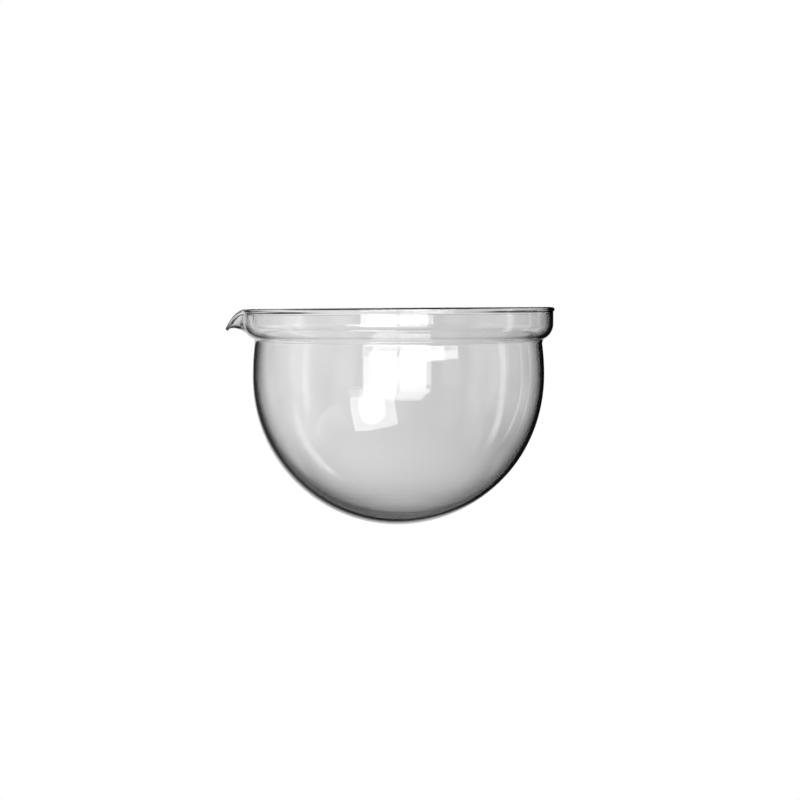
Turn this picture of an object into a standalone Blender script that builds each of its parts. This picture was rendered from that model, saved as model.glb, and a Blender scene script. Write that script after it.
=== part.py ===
"""A glass pouring bowl that hangs by its collar in a ring.

The bowl, its neck, its collar, the fire-polished rim and the pouring lip are one blown wall of
borosilicate glass, so the model is one object. The sheet halfway through the wall is modelled
first, as rings of points round the axis, and a Solidify modifier gives it its thickness.

Lengths are in metres and +Z is up. The origin is on the axis, in the plane of the neck, which
is where a supporting ring catches the collar. The lip points along -X.
"""

import math

import bmesh
import bpy

MM = 0.001

# The outer wall
BOWL_RADIUS = 80.0 * MM  # at the bowl's widest circle
BOWL_DEPTH = 81.4 * MM  # from the widest circle down to the bottom
NECK_RADIUS = 78.9 * MM
NECK_RISE = 17.3 * MM  # from the widest circle up to the neck
COLLAR_RADIUS = 84.9 * MM
RIM_RADIUS = 85.6 * MM  # the rim flares a little past the collar
RIM_HEIGHT = 19.8 * MM  # from the neck up to the rim, opposite the lip
RIM_DIP = 1.1 * MM  # how much lower the rim is on the lip's side
FLARE_HEIGHT = 6.0 * MM  # how far below the rim the flare starts
NECK_FILLET = 3.0 * MM  # the hollow round between the bowl and the collar
SHOULDER_ROUND = 10.0 * MM  # the full round under the collar

# The thickness of the wall
WALL = 2.1 * MM
RIM_WALL = 2.5 * MM  # fire polishing gathers glass at the rim
LIP_WALL = 1.6 * MM  # and drawing the lip out thins it
EDGE_ROUND = 0.7 * MM

# The pouring lip, drawn out and down from the collar
LIP_HALF_ANGLE = math.radians(12.6)
LIP_REACH = 94.5 * MM  # from the axis to the tip
LIP_LEVEL = 7.6 * MM  # height of the tip above the neck
LIP_START_SLOPE = math.radians(45.0)  # of the lip's floor, where it leaves the neck
LIP_DROOP = math.radians(24.0)  # of the floor below level, at the tip
LIP_ROOT_PULL = 7.5 * MM  # how far the floor keeps each of those two directions
LIP_TIP_PULL = 5.0 * MM
LIP_DROP_POWER = 1.8  # the rim falls later than it moves out, as it nears the lip's centre

# Facets
BOWL_STEPS = 10
BELLY_STEPS = 3
FILLET_STEPS = 3
SHOULDER_STEPS = 4
WALL_STEPS = 4
LIP_STEPS = 10  # across the lip
ROUND_STEPS = 46  # round the rest of the rim

MID_BOWL = BOWL_RADIUS - WALL / 2
MID_DEPTH = BOWL_DEPTH - WALL / 2
MID_NECK = NECK_RADIUS - WALL / 2
MID_COLLAR = COLLAR_RADIUS - WALL / 2
MID_FILLET = NECK_FILLET + WALL / 2
MID_SHOULDER = SHOULDER_ROUND - WALL / 2

GLASS_TINT = (0.90, 0.92, 0.92, 1.0)


def smooth_step(value):
    """0 below 0, 1 above 1, and a smooth rise between."""
    value = min(max(value, 0.0), 1.0)
    return value * value * (3.0 - 2.0 * value)


def bowl_points():
    """The bowl's half section, from the bottom to the start of the neck's fillet."""
    points = []
    for i in range(BOWL_STEPS + 1):
        turn = math.pi / 2 * i / BOWL_STEPS
        points.append((MID_BOWL * math.sin(turn), -NECK_RISE - MID_DEPTH * math.cos(turn)))
    lean = math.atan(2.0 * (MID_BOWL - MID_NECK) / NECK_RISE)
    end_radius = MID_NECK + MID_FILLET * (1.0 - math.cos(lean))
    climb = NECK_RISE - MID_FILLET * math.sin(lean)
    for i in range(1, BELLY_STEPS + 1):
        share = i / BELLY_STEPS
        radius = MID_BOWL - (MID_BOWL - end_radius) * share**2
        points.append((radius, -NECK_RISE + climb * share))
    return points


def collar_points():
    """The collar's half section, from the neck to the rim."""
    both = MID_FILLET + MID_SHOULDER
    turn = math.acos(1.0 - (MID_COLLAR - MID_NECK) / both)
    points = []
    for i in range(FILLET_STEPS + 1):
        angle = turn * i / FILLET_STEPS
        points.append((MID_NECK + MID_FILLET * (1.0 - math.cos(angle)), MID_FILLET * math.sin(angle)))
    top = both * math.sin(turn)
    for i in range(1, SHOULDER_STEPS + 1):
        angle = turn * (1.0 - i / SHOULDER_STEPS)
        points.append(
            (MID_COLLAR - MID_SHOULDER * (1.0 - math.cos(angle)), top - MID_SHOULDER * math.sin(angle))
        )
    flare = RIM_RADIUS - RIM_WALL / 2 - MID_COLLAR
    for i in range(1, WALL_STEPS + 1):
        height = top + (RIM_HEIGHT - top) * i / WALL_STEPS
        share = smooth_step(1.0 - (RIM_HEIGHT - height) / FLARE_HEIGHT)
        points.append((MID_COLLAR + flare * share, height))
    return points


def lip_floor(share):
    """The lip's floor on its centre line, from the neck (0) to the tip (1)."""
    fillet = MID_FILLET * LIP_START_SLOPE
    bend = 1.0 - math.cos(LIP_START_SLOPE)
    root = (MID_NECK + MID_FILLET * bend, MID_FILLET * math.sin(LIP_START_SLOPE))
    tip = (LIP_REACH, LIP_LEVEL)
    at = share * (fillet + math.dist(root, tip))
    if at < fillet:
        angle = at / MID_FILLET
        return MID_NECK + MID_FILLET * (1.0 - math.cos(angle)), MID_FILLET * math.sin(angle)
    at = (at - fillet) / math.dist(root, tip)
    from_root = (
        root[0] + LIP_ROOT_PULL * math.sin(LIP_START_SLOPE),
        root[1] + LIP_ROOT_PULL * math.cos(LIP_START_SLOPE),
    )
    to_tip = (
        tip[0] - LIP_TIP_PULL * math.cos(LIP_DROOP),
        tip[1] + LIP_TIP_PULL * math.sin(LIP_DROOP),
    )
    weights = ((1 - at) ** 3, 3 * at * (1 - at) ** 2, 3 * at**2 * (1 - at), at**3)
    corners = (root, from_root, to_tip, tip)
    return tuple(sum(w * c[k] for w, c in zip(weights, corners)) for k in (0, 1))


def sections():
    """Each ring's (plain, drawn) half-section points: on the round wall and on the lip's centre line."""
    collar = collar_points()
    runs = [0.0]
    for before, after in zip(collar, collar[1:]):
        runs.append(runs[-1] + math.dist(before, after))
    rings = [(point, point) for point in bowl_points()]
    rings += [(point, lip_floor(run / runs[-1])) for point, run in zip(collar, runs)]
    return rings


def ring_angles():
    """Angles round the axis, measured from the lip's centre, closer together across the lip."""
    across = [LIP_HALF_ANGLE * (2.0 * i / LIP_STEPS - 1.0) for i in range(LIP_STEPS)]
    rest = 2.0 * (math.pi - LIP_HALF_ANGLE)
    return across + [LIP_HALF_ANGLE + rest * i / ROUND_STEPS for i in range(ROUND_STEPS)]


def lip_share(angle):
    """How much of the lip's shape the wall takes at an angle: 1 at its centre, 0 past its sides."""
    if angle >= LIP_HALF_ANGLE:
        return 0.0
    return math.cos(math.pi / 2 * angle / LIP_HALF_ANGLE) ** 2


def wall_point(ring, angle):
    """A point of the sheet halfway through the wall."""
    (radius, height), (far, low) = ring
    if height > 0.0:
        height -= RIM_DIP * (1.0 + math.cos(angle)) / 2 * (height / RIM_HEIGHT) ** 2
    share = lip_share(angle)
    radius += share * (far - radius)
    height += share**LIP_DROP_POWER * (low - height)
    return -radius * math.cos(angle), -radius * math.sin(angle), height


def wall_thickness(ring, angle):
    """The wall's thickness: fuller towards the rim, thinner on the lip."""
    height = ring[0][1]
    near_rim = smooth_step(1.0 - (RIM_HEIGHT - height) / FLARE_HEIGHT)
    thickness = WALL + (RIM_WALL - WALL) * near_rim
    drawn = lip_share(angle) * smooth_step(height / RIM_HEIGHT)
    return thickness + (LIP_WALL - thickness) * drawn


def glass_sheet():
    """A mesh of the sheet halfway through the wall, and each point's share of the rim's thickness."""
    rings, angles = sections(), ring_angles()
    sheet = bmesh.new()
    bottom = sheet.verts.new(wall_point(rings[0], 0.0))
    shares = [WALL / RIM_WALL]
    rows = []
    for ring in rings[1:]:
        rows.append([sheet.verts.new(wall_point(ring, angle)) for angle in angles])
        shares += [wall_thickness(ring, angle) / RIM_WALL for angle in angles]
    for i in range(len(angles)):
        after = (i + 1) % len(angles)
        sheet.faces.new((bottom, rows[0][after], rows[0][i]))
        for lower, upper in zip(rows, rows[1:]):
            sheet.faces.new((lower[i], lower[after], upper[after], upper[i]))
    bmesh.ops.recalc_face_normals(sheet, faces=sheet.faces)
    mesh = bpy.data.meshes.new("glass_bowl")
    sheet.to_mesh(mesh)
    sheet.free()
    return mesh, shares


def clear_glass():
    """Clear borosilicate glass."""
    material = bpy.data.materials.new("clear_glass")
    material.use_nodes = True
    shader = material.node_tree.nodes["Principled BSDF"]
    shader.inputs["Base Color"].default_value = GLASS_TINT
    shader.inputs["Metallic"].default_value = 0.0
    shader.inputs["Roughness"].default_value = 0.02
    shader.inputs["IOR"].default_value = 1.47
    shader.inputs["Transmission Weight"].default_value = 1.0
    return material


def glass_bowl():
    """The whole vessel: the sheet, thickened to both sides, with its rim's edges rounded."""
    mesh, shares = glass_sheet()
    bowl = bpy.data.objects.new("glass_bowl", mesh)
    bpy.context.scene.collection.objects.link(bowl)
    mesh.materials.append(clear_glass())
    thickness = bowl.vertex_groups.new(name="thickness")
    for vertex, share in enumerate(shares):
        thickness.add([vertex], share, "REPLACE")
    wall = bowl.modifiers.new("wall", "SOLIDIFY")
    wall.thickness = RIM_WALL
    wall.offset = 0.0
    wall.use_even_offset = True
    wall.vertex_group = thickness.name
    polish = bowl.modifiers.new("fire_polish", "BEVEL")
    polish.limit_method = "ANGLE"
    polish.angle_limit = math.radians(60.0)
    polish.width = EDGE_ROUND
    polish.segments = 2
    mesh.shade_smooth()
    return bowl


def main():
    for thing in list(bpy.data.objects):
        bpy.data.objects.remove(thing)
    glass_bowl()


main()
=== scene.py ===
"""The looks of a clear glass pouring bowl that hangs by its collar, built round its CAD frame.

Lengths are in metres and +Z is up. The origin is on the vessel's axis, in the plane of its neck.
The pouring lip points along -X. A finer wall stands in for the CAD wall. It follows the same design,
with a rounder, slightly higher rim and a fuller lower bowl, and passes its box by 0.6 mm at most.
"""

import math

import bpy
import numpy as np
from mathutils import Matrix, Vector


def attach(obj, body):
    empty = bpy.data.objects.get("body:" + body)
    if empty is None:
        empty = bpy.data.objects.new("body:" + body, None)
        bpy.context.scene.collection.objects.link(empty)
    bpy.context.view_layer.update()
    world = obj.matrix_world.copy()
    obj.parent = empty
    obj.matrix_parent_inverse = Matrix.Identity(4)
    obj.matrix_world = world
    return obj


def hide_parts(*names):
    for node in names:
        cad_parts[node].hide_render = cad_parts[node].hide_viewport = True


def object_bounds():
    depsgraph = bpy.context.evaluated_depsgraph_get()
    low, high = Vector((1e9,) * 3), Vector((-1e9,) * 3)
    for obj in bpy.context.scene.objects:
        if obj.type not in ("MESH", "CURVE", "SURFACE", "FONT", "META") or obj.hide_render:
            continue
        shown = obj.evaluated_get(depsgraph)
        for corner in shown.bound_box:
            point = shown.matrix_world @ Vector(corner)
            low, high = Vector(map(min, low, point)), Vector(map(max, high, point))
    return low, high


MM = 0.001

# The outer wall: the CAD model's sizes, apart from the rim's height, dip and bead
BOWL_RADIUS = 80.0 * MM  # at the bowl's widest circle
BOWL_DEPTH = 81.4 * MM  # from the widest circle down to the bottom
NECK_RADIUS = 78.9 * MM
NECK_RISE = 17.3 * MM  # from the widest circle up to the neck
COLLAR_RADIUS = 84.9 * MM
RIM_RADIUS = 85.6 * MM
RIM_HEIGHT = 20.2 * MM  # from the neck up to the rim, opposite the lip
RIM_DIP = 1.5 * MM  # how much lower the rim is on the lip's side
BEAD_BLEND = 1.6 * MM  # how far below the rim's bead the wall starts to swell into it
NECK_FILLET = 3.0 * MM  # the hollow round between the bowl and the collar
SHOULDER_ROUND = 10.0 * MM  # the full round under the collar

# The thickness of the wall
WALL = 2.1 * MM
RIM_WALL = 3.0 * MM  # fire polishing gathers glass in a bead at the rim
LIP_WALL = 1.1 * MM  # and drawing the lip out thins it
LIP_BEAD = 2.2 * MM  # the bead along the lip's edge
BOTTOM_EXTRA = 0.6 * MM  # the blown wall is fuller in the lower half of the bowl
BOTTOM_TURN = math.radians(50.0)  # how far up from the bottom the extra stays whole
BOTTOM_FADE = math.radians(40.0)  # and the turn over which it then fades out
SIDE_EXTRA = 0.33 * MM  # more glass halfway up on the lip's side, and as much less opposite it

# The pouring lip, drawn out and down from the collar
LIP_HALF_ANGLE = math.radians(12.6)
LIP_REACH = 94.5 * MM  # from the axis to the tip
LIP_LEVEL = 7.6 * MM  # height of the tip above the neck
LIP_START_SLOPE = math.radians(45.0)  # of the lip's floor, where it leaves the neck
LIP_DROOP = math.radians(24.0)  # of the floor below level, at the tip
LIP_ROOT_PULL = 7.5 * MM  # how far the floor keeps each of those two directions
LIP_TIP_PULL = 5.0 * MM
LIP_DROP_POWER = 1.8  # the rim falls later than it moves out, as it nears the lip's centre

MID_BOWL = BOWL_RADIUS - WALL / 2
MID_DEPTH = BOWL_DEPTH - WALL / 2
MID_NECK = NECK_RADIUS - WALL / 2
MID_COLLAR = COLLAR_RADIUS - WALL / 2
MID_FILLET = NECK_FILLET + WALL / 2
MID_SHOULDER = SHOULDER_ROUND - WALL / 2

# Facets of the fine wall
BOWL_STEPS = 72
BELLY_STEPS = 10
UNDERCUT_STEPS = 3  # of the fillet, below the neck
FILLET_STEPS = 10  # and above it
SHOULDER_STEPS = 16
COLLAR_STEPS = 5
BEAD_STEPS = 8
EDGE_STEPS = 12
LIP_STEPS = 48
ROUND_STEPS = 300
ROUND_BUNCHING = 0.5

# The glass, and the faint level rings in it
GLASS_TINT = (0.96, 0.96, 0.96, 1.0)
GLASS_IOR = 1.47
RING_SCALE = (5.0, 5.0, 500.0)  # noise cells per metre
RING_HEIGHT = 8e-6  # metres, for the noise's full range

# The share of their light that the studio gives to rays that nothing has mirrored on their way, and
# to the others. The lamps' shares are for rays that leave the glass by going through it: a ray that
# the glass has just mirrored meets all of their light.
LAMP_SHARES = (0.14, 0.84)
BACKDROP_SHARES = (1.0, 0.75)

FLOOR_GAP = 3.0 * MM  # the bowl hangs, so the floor is clear of it


def smooth_step(value):
    """0 below 0, 1 above 1, and a smooth rise between."""
    value = np.clip(value, 0.0, 1.0)
    return value * value * (3.0 - 2.0 * value)


def arc(centre, radius, angles):
    """Points on an arc of the half section, at angles measured from its outermost side."""
    return np.stack([centre[0] + radius * np.cos(angles), centre[1] + radius * np.sin(angles)], 1)


def plain_section():
    """The half section of the sheet halfway through the round wall, from its bottom to its rim.

    With it comes the number of its points that lie below the neck.
    """
    turn = np.linspace(0.0, math.pi / 2, BOWL_STEPS + 1)
    bowl = np.stack([MID_BOWL * np.sin(turn), -NECK_RISE - MID_DEPTH * np.cos(turn)], 1)
    lean = math.atan(2.0 * (MID_BOWL - MID_NECK) / NECK_RISE)
    end_radius = MID_NECK + MID_FILLET * (1.0 - math.cos(lean))
    climb = NECK_RISE - MID_FILLET * math.sin(lean)
    share = np.linspace(0.0, 1.0, BELLY_STEPS + 1)[1:-1]
    belly = np.stack([MID_BOWL - (MID_BOWL - end_radius) * share**2, climb * share - NECK_RISE], 1)
    both = MID_FILLET + MID_SHOULDER
    bend = math.acos(1.0 - (MID_COLLAR - MID_NECK) / both)
    below = np.linspace(-lean, 0.0, UNDERCUT_STEPS + 1)[:-1]
    above = np.linspace(0.0, bend, FILLET_STEPS + 1)
    turns = math.pi - np.concatenate([below, above])
    fillet = arc((MID_NECK + MID_FILLET, 0.0), MID_FILLET, turns)
    top = both * math.sin(bend)
    turns = -np.linspace(bend, 0.0, SHOULDER_STEPS + 1)[1:]
    shoulder = arc((MID_COLLAR - MID_SHOULDER, top), MID_SHOULDER, turns)
    bead = RIM_HEIGHT - RIM_WALL / 2
    heights = np.concatenate(
        [
            np.linspace(top, bead - BEAD_BLEND, COLLAR_STEPS + 1)[1:],
            np.linspace(bead - BEAD_BLEND, bead, BEAD_STEPS + 1)[1:],
        ]
    )
    flare = RIM_RADIUS - RIM_WALL / 2 - MID_COLLAR
    radii = MID_COLLAR + flare * smooth_step(1.0 - (bead - heights) / BEAD_BLEND)
    collar = np.stack([radii, heights], 1)
    neck = len(bowl) + len(belly) + len(below)
    return np.concatenate([bowl, belly, fillet, shoulder, collar]), neck


def lip_floor(share):
    """The lip's floor on its centre line, from the neck (0) to the tip (1)."""
    bend = 1.0 - math.cos(LIP_START_SLOPE)
    root = np.array([MID_NECK + MID_FILLET * bend, MID_FILLET * math.sin(LIP_START_SLOPE)])
    droop = np.array([math.cos(LIP_DROOP), -math.sin(LIP_DROOP)])
    tip = np.array([LIP_REACH, LIP_LEVEL]) - droop * LIP_BEAD / 2
    fillet = MID_FILLET * LIP_START_SLOPE
    straight = math.dist(root, tip)
    run = share * (fillet + straight)
    near = arc((MID_NECK + MID_FILLET, 0.0), MID_FILLET, math.pi - run / MID_FILLET)
    from_root = root + LIP_ROOT_PULL * np.array([math.sin(LIP_START_SLOPE), math.cos(LIP_START_SLOPE)])
    to_tip = tip - LIP_TIP_PULL * droop
    at = np.clip((run - fillet) / straight, 0.0, 1.0)[:, None]
    far = (
        (1 - at) ** 3 * root
        + 3 * at * (1 - at) ** 2 * from_root
        + 3 * at**2 * (1 - at) * to_tip
        + at**3 * tip
    )
    return np.where((run < fillet)[:, None], near, far)


def ring_angles():
    """Angles round the axis, measured from the lip's centre, closest together across the lip.

    Round the rest they are closer together near the lip and opposite it than halfway between.
    """
    across = np.linspace(-LIP_HALF_ANGLE, LIP_HALF_ANGLE, LIP_STEPS, endpoint=False)
    share = np.arange(ROUND_STEPS) / ROUND_STEPS
    share = share - ROUND_BUNCHING * np.sin(4 * math.pi * share) / (4 * math.pi)
    rest = LIP_HALF_ANGLE + 2 * (math.pi - LIP_HALF_ANGLE) * share
    return np.concatenate([across, rest])


def wall_surfaces():
    """Rows of points of the inner wall, from its bottom up, over the rim and down the outer wall.

    Values named slope are rates of change up the section, and those named turn are round the axis.
    """
    plain, neck = plain_section()
    run = np.concatenate([[0.0], np.cumsum(np.linalg.norm(np.diff(plain, axis=0), axis=1))])
    drawn = plain.copy()
    drawn[neck:] = lip_floor((run[neck:] - run[neck]) / (run[-1] - run[neck]))
    plain_slope = np.gradient(plain, run, axis=0)
    drawn_slope = np.gradient(drawn, run, axis=0)

    angles = ring_angles()[None, :]
    cos, sin = np.cos(angles), np.sin(angles)
    inside = np.abs(angles) < LIP_HALF_ANGLE
    quarter = math.pi / 2 / LIP_HALF_ANGLE
    share = np.where(inside, np.cos(quarter * angles) ** 2, 0.0)
    share_turn = np.where(inside, -quarter * np.sin(2 * quarter * angles), 0.0)
    drop = share**LIP_DROP_POWER
    drop_turn = LIP_DROP_POWER * share ** (LIP_DROP_POWER - 1) * share_turn

    radius, height = plain[:, :1], plain[:, 1:]
    far, low = drawn[:, :1], drawn[:, 1:]
    lift = np.maximum(height, 0.0) / RIM_HEIGHT
    dipped = height - RIM_DIP * (1 + cos) / 2 * lift**2
    dipped_slope = plain_slope[:, 1:] * (1 - RIM_DIP * (1 + cos) * lift / RIM_HEIGHT)
    dipped_turn = RIM_DIP * sin / 2 * lift**2

    rho = radius + share * (far - radius)
    rho_slope = plain_slope[:, :1] + share * (drawn_slope[:, :1] - plain_slope[:, :1])
    rho_turn = share_turn * (far - radius)
    up = dipped + drop * (low - dipped)
    up_slope = dipped_slope + drop * (drawn_slope[:, 1:] - dipped_slope)
    up_turn = dipped_turn * (1 - drop) + drop_turn * (low - dipped)

    middle = np.stack([-rho * cos, -rho * sin, up], 2)
    along = np.stack([-rho_slope * cos, -rho_slope * sin, up_slope], 2)
    across = np.stack([-rho_turn * cos + rho * sin, -rho_turn * sin - rho * cos, up_turn], 2)
    normal = np.cross(across, along)
    normal[0] = (0.0, 0.0, -1.0)
    normal /= np.linalg.norm(normal, axis=2, keepdims=True)
    along /= np.linalg.norm(along, axis=2, keepdims=True)

    bead = RIM_HEIGHT - RIM_WALL / 2
    thickness = WALL + (LIP_WALL - WALL) * share * smooth_step(lift)
    full = RIM_WALL + (LIP_BEAD - RIM_WALL) * share
    thickness = thickness + (full - thickness) * smooth_step(1.0 - (bead - height) / BEAD_BLEND)
    half = (thickness / 2)[:, :, None]
    turns = np.linspace(math.pi, 0.0, EDGE_STEPS + 1)[1:-1, None, None]
    edge = middle[-1] + half[-1] * (normal[-1] * np.cos(turns) + along[-1] * np.sin(turns))
    inner = middle - half * normal
    fall = np.arctan2(plain[:, :1], -NECK_RISE - height)
    extra = BOTTOM_EXTRA * (1.0 - smooth_step((fall - BOTTOM_TURN) / BOTTOM_FADE))
    extra = extra + SIDE_EXTRA * np.maximum(np.sin(2.0 * fall), 0.0) * cos
    outer = middle + (half + extra[:, :, None]) * normal
    return np.concatenate([inner, edge, outer[::-1]])


def glass_wall():
    """The vessel's wall as one closed mesh."""
    rows = wall_surfaces()
    count = rows.shape[1]
    body = rows[1:-1].reshape(-1, 3)
    points = np.concatenate([rows[0, :1], body, rows[-1, :1]])
    first, last = 0, len(points) - 1
    ring = np.arange(count)
    after = (ring + 1) % count
    starts = 1 + count * np.arange(len(rows) - 3)[:, None]
    quads = np.stack([starts + ring, starts + count + ring, starts + count + after, starts + after], 2)
    top = 1 + count * (len(rows) - 3)
    faces = [(first, 1 + i, 1 + j) for i, j in zip(ring.tolist(), after.tolist())]
    faces += quads.reshape(-1, 4).tolist()
    faces += [(last, top + j, top + i) for i, j in zip(ring.tolist(), after.tolist())]
    mesh = bpy.data.meshes.new("clear_glass_wall")
    mesh.from_pydata(points.tolist(), [], faces)
    mesh.validate()
    mesh.shade_smooth()
    wall = bpy.data.objects.new("clear_glass_wall", mesh)
    bpy.context.scene.collection.objects.link(wall)
    return wall


def clear_glass():
    """Clear borosilicate glass, with the faint level rings that spinning it on a lathe leaves."""
    material = bpy.data.materials.new("clear_borosilicate_glass")
    material.use_nodes = True
    tree = material.node_tree
    shader = tree.nodes["Principled BSDF"]
    place = tree.nodes.new("ShaderNodeTexCoord")
    stretch = tree.nodes.new("ShaderNodeMapping")
    stretch.inputs["Scale"].default_value = RING_SCALE
    rings = tree.nodes.new("ShaderNodeTexNoise")
    rings.inputs["Scale"].default_value = 1.0
    rings.inputs["Detail"].default_value = 1.0
    bump = tree.nodes.new("ShaderNodeBump")
    bump.inputs["Strength"].default_value = 1.0
    bump.inputs["Distance"].default_value = RING_HEIGHT
    tree.links.new(place.outputs["Object"], stretch.inputs["Vector"])
    tree.links.new(stretch.outputs["Vector"], rings.inputs["Vector"])
    tree.links.new(rings.outputs["Fac"], bump.inputs["Height"])
    tree.links.new(bump.outputs["Normal"], shader.inputs["Normal"])
    shader.inputs["Base Color"].default_value = GLASS_TINT
    shader.inputs["Roughness"].default_value = 0.0
    shader.inputs["IOR"].default_value = GLASS_IOR
    shader.inputs["Transmission Weight"].default_value = 1.0
    return material


class Levels:
    """Math nodes of one shader, for light levels that change smoothly with place or direction."""

    def __init__(self, tree):
        self.tree = tree

    def node(self, kind, output=0):
        return self.tree.nodes.new(kind).outputs[output]

    def feed(self, socket, value):
        """Gives a socket a number, or links another node's output to it."""
        if isinstance(value, (int, float)):
            socket.default_value = value
        else:
            self.tree.links.new(value, socket)

    def split(self, vector):
        node = self.tree.nodes.new("ShaderNodeSeparateXYZ")
        self.tree.links.new(vector, node.inputs[0])
        return node.outputs

    def dot(self, vector, axis):
        node = self.tree.nodes.new("ShaderNodeVectorMath")
        node.operation = "DOT_PRODUCT"
        self.tree.links.new(vector, node.inputs[0])
        node.inputs[1].default_value = axis
        return node.outputs["Value"]

    def op(self, operation, *inputs):
        node = self.tree.nodes.new("ShaderNodeMath")
        node.operation = operation
        for socket, value in zip(node.inputs, inputs):
            self.feed(socket, value)
        return node.outputs[0]

    def fold(self, operation, *parts):
        """One value out of many, joined two by two by an operation."""
        total = parts[0]
        for part in parts[1:]:
            total = self.op(operation, total, part)
        return total

    def ramp(self, value, start, end, before, after):
        """A smooth passage from one level to another as a value goes from start to end."""
        node = self.tree.nodes.new("ShaderNodeMapRange")
        node.interpolation_type = "SMOOTHSTEP"
        self.tree.links.new(value, node.inputs["Value"])
        names = ("From Min", "From Max", "To Min", "To Max")
        for name, number in zip(names, (start, end, before, after)):
            node.inputs[name].default_value = number
        return node.outputs[0]

    def band(self, value, low, high, soft):
        """1 between two values, falling to 0 over soft[0] below them and soft[1] above them."""
        rise = self.ramp(value, low - soft[0], low, 0.0, 1.0)
        return self.op("MULTIPLY", rise, self.ramp(value, high, high + soft[1], 1.0, 0.0))

    def panel(self, across, sides, across_soft, up, ends, up_soft, strength):
        """A light of one strength, from its left to its right side and from its lower to its upper end."""
        area = self.op("MULTIPLY", self.band(across, *sides, across_soft), self.band(up, *ends, up_soft))
        return self.op("MULTIPLY", area, strength)

    def by_mirroring(self, shares):
        """The first share for rays that nothing has mirrored yet, and the second for the others."""
        path = self.tree.nodes.new("ShaderNodeLightPath")
        return self.ramp(path.outputs["Glossy Depth"], 0.0, 1.0, *shares)


def key_light(levels, direction, across, up):
    """A square softbox above and to the right of the viewer, with a brighter disc in its middle.

    Its sizes are tangents of the angle away from the line to its centre.
    """
    tilt = 0.10
    disc_right, disc_rise = 0.035, 0.065
    disc_tail = 0.35  # under its centre the disc reaches further, by one over this
    disc_edge, disc_level, square_level = (0.185, 0.21), 7.0, 4.0

    across, up = math.radians(across), math.radians(up)
    facing = Vector((math.sin(across) * math.cos(up), -math.cos(across) * math.cos(up), math.sin(up)))
    side = Vector((math.cos(across), math.sin(across), 0.0))
    ahead = levels.dot(direction, facing)
    near = levels.op("MAXIMUM", ahead, 0.01)
    right = levels.op("DIVIDE", levels.dot(direction, side), near)
    rise = levels.op("DIVIDE", levels.dot(direction, facing.cross(side)), near)
    rise = levels.op("SUBTRACT", rise, levels.op("MULTIPLY", right, tilt))
    square = levels.panel(right, (-0.31, 0.35), (0.01, 0.01), rise, (-0.20, 0.345), (0.03, 0.01), 1.0)
    square = levels.op("MULTIPLY", square, levels.op("GREATER_THAN", ahead, 0.02))
    aside = levels.op("SUBTRACT", right, disc_right)
    above = levels.op("SUBTRACT", rise, disc_rise)
    above = levels.op("MAXIMUM", above, levels.op("MULTIPLY", above, -disc_tail))
    far = levels.op("ADD", *(levels.op("MULTIPLY", offset, offset) for offset in (aside, above)))
    disc = levels.ramp(levels.op("SQRT", far), *disc_edge, disc_level, square_level)
    return levels.op("MULTIPLY", square, disc)


def viewer_lamps(levels, before, up):
    """Two low panels, one each side of the viewer, and a reflector under the right one."""
    slant = levels.op("SUBTRACT", before, up)  # the reflector's sides lean
    return levels.fold(
        "MAXIMUM",
        levels.panel(before, (-23.0, -1.5), (1.0, 0.6), up, (-15.0, 8.6), (1.0, 0.6), 5.4),
        levels.panel(before, (-27.0, -1.5), (1.0, 0.6), up, (-15.0, 8.6), (1.0, 0.6), 4.8),
        levels.panel(before, (-28.0, -1.5), (1.0, 0.6), up, (8.6, 11.5), (1.0, 1.0), 2.8),
        levels.panel(before, (-3.0, 3.0), (1.0, 0.6), up, (-10.0, 8.6), (1.0, 1.0), 3.2),
        levels.panel(before, (1.5, 15.0), (0.6, 0.6), up, (-8.5, 6.5), (0.7, 1.0), 5.4),
        levels.panel(before, (1.5, 21.4), (0.6, 0.6), up, (-8.5, 6.5), (0.7, 1.0), 4.3),
        levels.panel(slant, (12.0, 34.0), (3.0, 1.0), up, (-16.2, -9.2), (0.7, 0.5), 4.4),
    )


def seen_through(levels, behind, cone, up, lamps):
    """What shows through the glass: panels round the room, its dim side walls, and the lamps."""
    between = levels.op("PINGPONG", behind, 22.5)  # the panels stand at every eighth of a turn
    outer = levels.op("GREATER_THAN", levels.op("ABSOLUTE", behind), 22.5)
    ring = levels.panel(between, (-1.0, 5.0), (1.0, 8.0), up, (-32.0, 5.0), (8.0, 8.0), 0.67)
    glow = levels.ramp(behind, -22.0, -4.0, 0.055, 0.012)
    glow_edge = levels.ramp(cone, 13.0, 20.0, 0.0, 1.0)
    return levels.fold(
        "MAXIMUM",
        levels.op("MULTIPLY", ring, outer),
        levels.panel(behind, (-110.0, -40.0), (10.0, 12.0), up, (-20.0, -7.7), (15.0, 15.0), 0.81),
        levels.panel(behind, (40.0, 118.0), (12.0, 12.0), up, (-20.0, -7.7), (15.0, 15.0), 0.66),
        levels.op("MULTIPLY", lamps, levels.by_mirroring(LAMP_SHARES)),
        levels.op("MULTIPLY", glow, glow_edge),
    )


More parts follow.
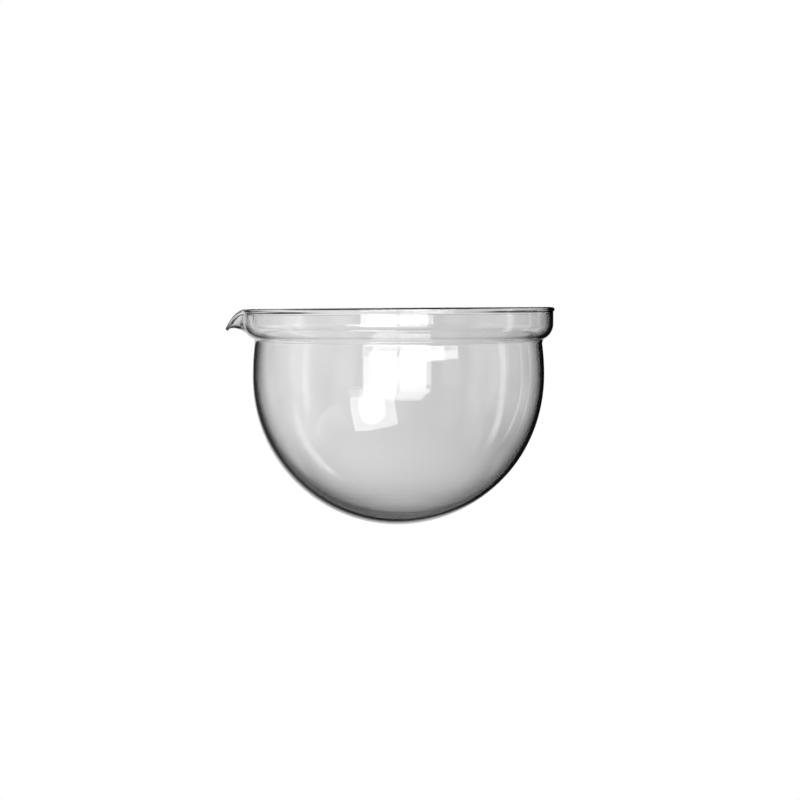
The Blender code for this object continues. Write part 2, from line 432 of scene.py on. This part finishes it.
def mirrored(levels, behind, before, cone, up, lamps):
    """What the glass mirrors: white side walls, strip lights, a low lamp to the right and the lamps.

    A pale spot behind the bowl edges its outline.
    """
    spot = levels.ramp(cone, 21.0, 34.5, 1.10, 0.0)
    leaning = levels.op("SUBTRACT", behind, levels.op("MULTIPLY", up, 0.5))
    left_limit = levels.ramp(leaning, -20.5, -12.4, 0.0, 1.0)
    right_limit = levels.ramp(behind, 5.0, 14.0, 1.0, 0.0)
    # Low down, the strip lights bend in towards the back
    lean = levels.op("MULTIPLY", levels.op("MINIMUM", levels.op("ADD", up, 12.0), 0.0), 0.35)
    right = levels.op("SUBTRACT", behind, lean)
    left = levels.op("MULTIPLY", levels.op("ADD", behind, lean), -1.0)
    return levels.fold(
        "MAXIMUM",
        # the side walls
        levels.panel(behind, (-105.0, -52.0), (10.0, 14.0), up, (-28.0, 35.0), (20.0, 14.0), 1.07),
        levels.panel(behind, (51.0, 118.0), (14.0, 14.0), up, (-9.7, 24.7), (20.0, 20.0), 1.77),
        # the strip lights
        levels.panel(right, (88.5, 91.5), (5.0, 5.0), up, (-24.0, 16.0), (18.0, 8.0), 4.0),
        levels.panel(behind, (66.5, 67.5), (3.0, 3.0), up, (-18.0, 12.0), (15.0, 8.0), 2.9),
        levels.panel(behind, (53.0, 54.0), (3.0, 3.0), up, (-12.0, 12.0), (15.0, 8.0), 2.4),
        levels.panel(left, (101.0, 104.0), (3.5, 4.0), up, (-16.0, 12.0), (12.0, 8.0), 2.6),
        levels.panel(left, (88.0, 92.0), (6.0, 6.0), up, (-48.0, -16.0), (14.0, 10.0), 2.0),
        # the low lamp
        levels.panel(before, (1.5, 36.0), (1.0, 1.5), up, (7.4, 11.3), (1.2, 0.9), 12.0),
        levels.panel(before, (36.0, 47.0), (6.0, 1.5), up, (7.8, 10.6), (1.5, 1.2), 8.0),
        levels.fold("MULTIPLY", spot, left_limit, right_limit),
        lamps,
    )


def studio():
    """World: white to the camera, and a photographer's studio to the glass.

    Azimuths are in degrees from straight behind the bowl, positive to the right; those of the
    lights near the viewer are from the viewer's side. Elevations are above the horizon.
    """
    world = bpy.data.worlds.new("studio")
    bpy.context.scene.world = world
    world.use_nodes = True
    tree = world.node_tree
    tree.nodes.clear()
    levels = Levels(tree)
    direction = levels.node("ShaderNodeTexCoord")
    x, y, z = levels.split(direction)
    behind = levels.op("DEGREES", levels.op("ARCTAN2", x, y))
    before = levels.op("DEGREES", levels.op("ARCTAN2", x, levels.op("MULTIPLY", y, -1.0)))
    up = levels.op("DEGREES", levels.op("ARCSINE", z))
    cone = levels.op("DEGREES", levels.op("ARCCOSINE", y))  # the angle away from straight behind

    # The key light hangs a little lower to rays through the glass than to mirrored ones
    lamps = viewer_lamps(levels, before, up)
    through_lamps = levels.op("MAXIMUM", lamps, key_light(levels, direction, 21.5, 23.6))
    mirrored_lamps = levels.op("MAXIMUM", lamps, key_light(levels, direction, 23.0, 27.0))
    path = tree.nodes.new("ShaderNodeLightPath")
    choice = tree.nodes.new("ShaderNodeMix")
    levels.feed(choice.inputs["Factor"], path.outputs["Is Transmission Ray"])
    levels.feed(choice.inputs["A"], mirrored(levels, behind, before, cone, up, mirrored_lamps))
    levels.feed(choice.inputs["B"], seen_through(levels, behind, cone, up, through_lamps))
    below = levels.ramp(up, -60.0, -35.0, 0.17, 0.0)  # a dim glow from under the bowl
    room = background(levels, levels.op("ADD", choice.outputs["Result"], below))

    mix = tree.nodes.new("ShaderNodeMixShader")
    levels.feed(mix.inputs[0], path.outputs["Is Camera Ray"])
    levels.feed(mix.inputs[1], room)
    levels.feed(mix.inputs[2], background(levels, 1.0))
    out = tree.nodes.new("ShaderNodeOutputWorld")
    levels.feed(out.inputs["Surface"], mix.outputs[0])


def background(levels, strength):
    """White light from far away."""
    shader = levels.tree.nodes.new("ShaderNodeBackground")
    shader.inputs["Color"].default_value = (1.0, 1.0, 1.0, 1.0)
    levels.feed(shader.inputs["Strength"], strength)
    return shader.outputs[0]


def empty_material(name):
    """A material with its Levels, a white light and an output, and nothing linked yet."""
    material = bpy.data.materials.new(name)
    material.use_nodes = True
    tree = material.node_tree
    tree.nodes.clear()
    light = tree.nodes.new("ShaderNodeEmission")
    out = tree.nodes.new("ShaderNodeOutputMaterial")
    return material, Levels(tree), light, out


def sheet(name, corners, material):
    """A flat sheet of the studio, which casts no shadow."""
    mesh = bpy.data.meshes.new(name)
    mesh.from_pydata(corners, [], [(0, 1, 2, 3)])
    mesh.materials.append(material)
    made = bpy.data.objects.new(name, mesh)
    bpy.context.scene.collection.objects.link(made)
    made.visible_shadow = False
    return made


def backdrop():
    """The bright wall behind the bowl, which only the glass sees. It fades out to its sides and down."""
    material, levels, light, out = empty_material("backdrop_light")
    x, _, z = levels.split(levels.node("ShaderNodeNewGeometry"))
    level = levels.panel(x, (-0.095, 0.028), (0.205, 0.29), z, (-0.124, 0.8), (0.18, 1.0), 1.0)
    edges = (levels.ramp(x, 0.134, 0.22, 1.0, 0.0), levels.ramp(z, -0.27, -0.238, 0.0, 1.0))
    tone = levels.ramp(x, -0.06, 0.06, 0.832, 0.719)  # darker to the right
    level = levels.fold("MULTIPLY", level, *edges, tone, levels.by_mirroring(BACKDROP_SHARES))
    levels.feed(light.inputs["Strength"], level)
    both = levels.tree.nodes.new("ShaderNodeAddShader")
    levels.feed(both.inputs[0], light.outputs[0])
    levels.feed(both.inputs[1], levels.node("ShaderNodeBsdfTransparent"))
    levels.feed(out.inputs["Surface"], both.outputs[0])
    left, right, bottom, top, away = -0.36, 0.31, -0.30, 1.85, 0.8
    corners = [(left, away, bottom), (right, away, bottom), (right, away, top), (left, away, top)]
    sheet("backdrop", corners, material).visible_camera = False


def floor(bottom):
    """A white floor for the camera alone."""
    material, levels, light, out = empty_material("white_floor")
    levels.feed(light.inputs["Strength"], 1.0)
    levels.feed(out.inputs["Surface"], light.outputs[0])
    size = 6.0  # half its width
    corners = [(-size, -size, bottom), (size, -size, bottom), (size, size, bottom), (-size, size, bottom)]
    ground = sheet("floor", corners, material)
    ground.visible_glossy = False
    ground.visible_transmission = False


def camera():
    """A long lens just above the rim's height, aimed a little down at the bowl."""
    seen_width, distance = 0.4384, 1.5
    aside, eye_height, aim_height = 0.9 * MM, 20.7 * MM, -31.0 * MM
    data = bpy.data.cameras.new("camera")
    data.lens = data.sensor_width * distance / seen_width
    view = bpy.data.objects.new("camera", data)
    bpy.context.scene.collection.objects.link(view)
    view.location = (aside, -distance, eye_height)
    aim = Vector((aside, 0.0, aim_height))
    view.rotation_euler = (aim - view.location).to_track_quat("-Z", "Y").to_euler()
    bpy.context.scene.camera = view


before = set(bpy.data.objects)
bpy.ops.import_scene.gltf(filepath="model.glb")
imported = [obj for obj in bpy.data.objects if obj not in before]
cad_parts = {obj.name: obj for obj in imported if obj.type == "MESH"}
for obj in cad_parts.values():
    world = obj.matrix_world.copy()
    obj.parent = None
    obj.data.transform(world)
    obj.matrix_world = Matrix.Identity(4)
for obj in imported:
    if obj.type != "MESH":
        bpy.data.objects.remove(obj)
cad_box = [list(corner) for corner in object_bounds()]
bpy.context.scene.view_settings.view_transform = "Standard"
camera()
studio()
backdrop()
floor(cad_box[0][2] - FLOOR_GAP)
wall = glass_wall()
wall.data.materials.append(clear_glass())
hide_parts("glass_bowl")
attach(wall, "root")
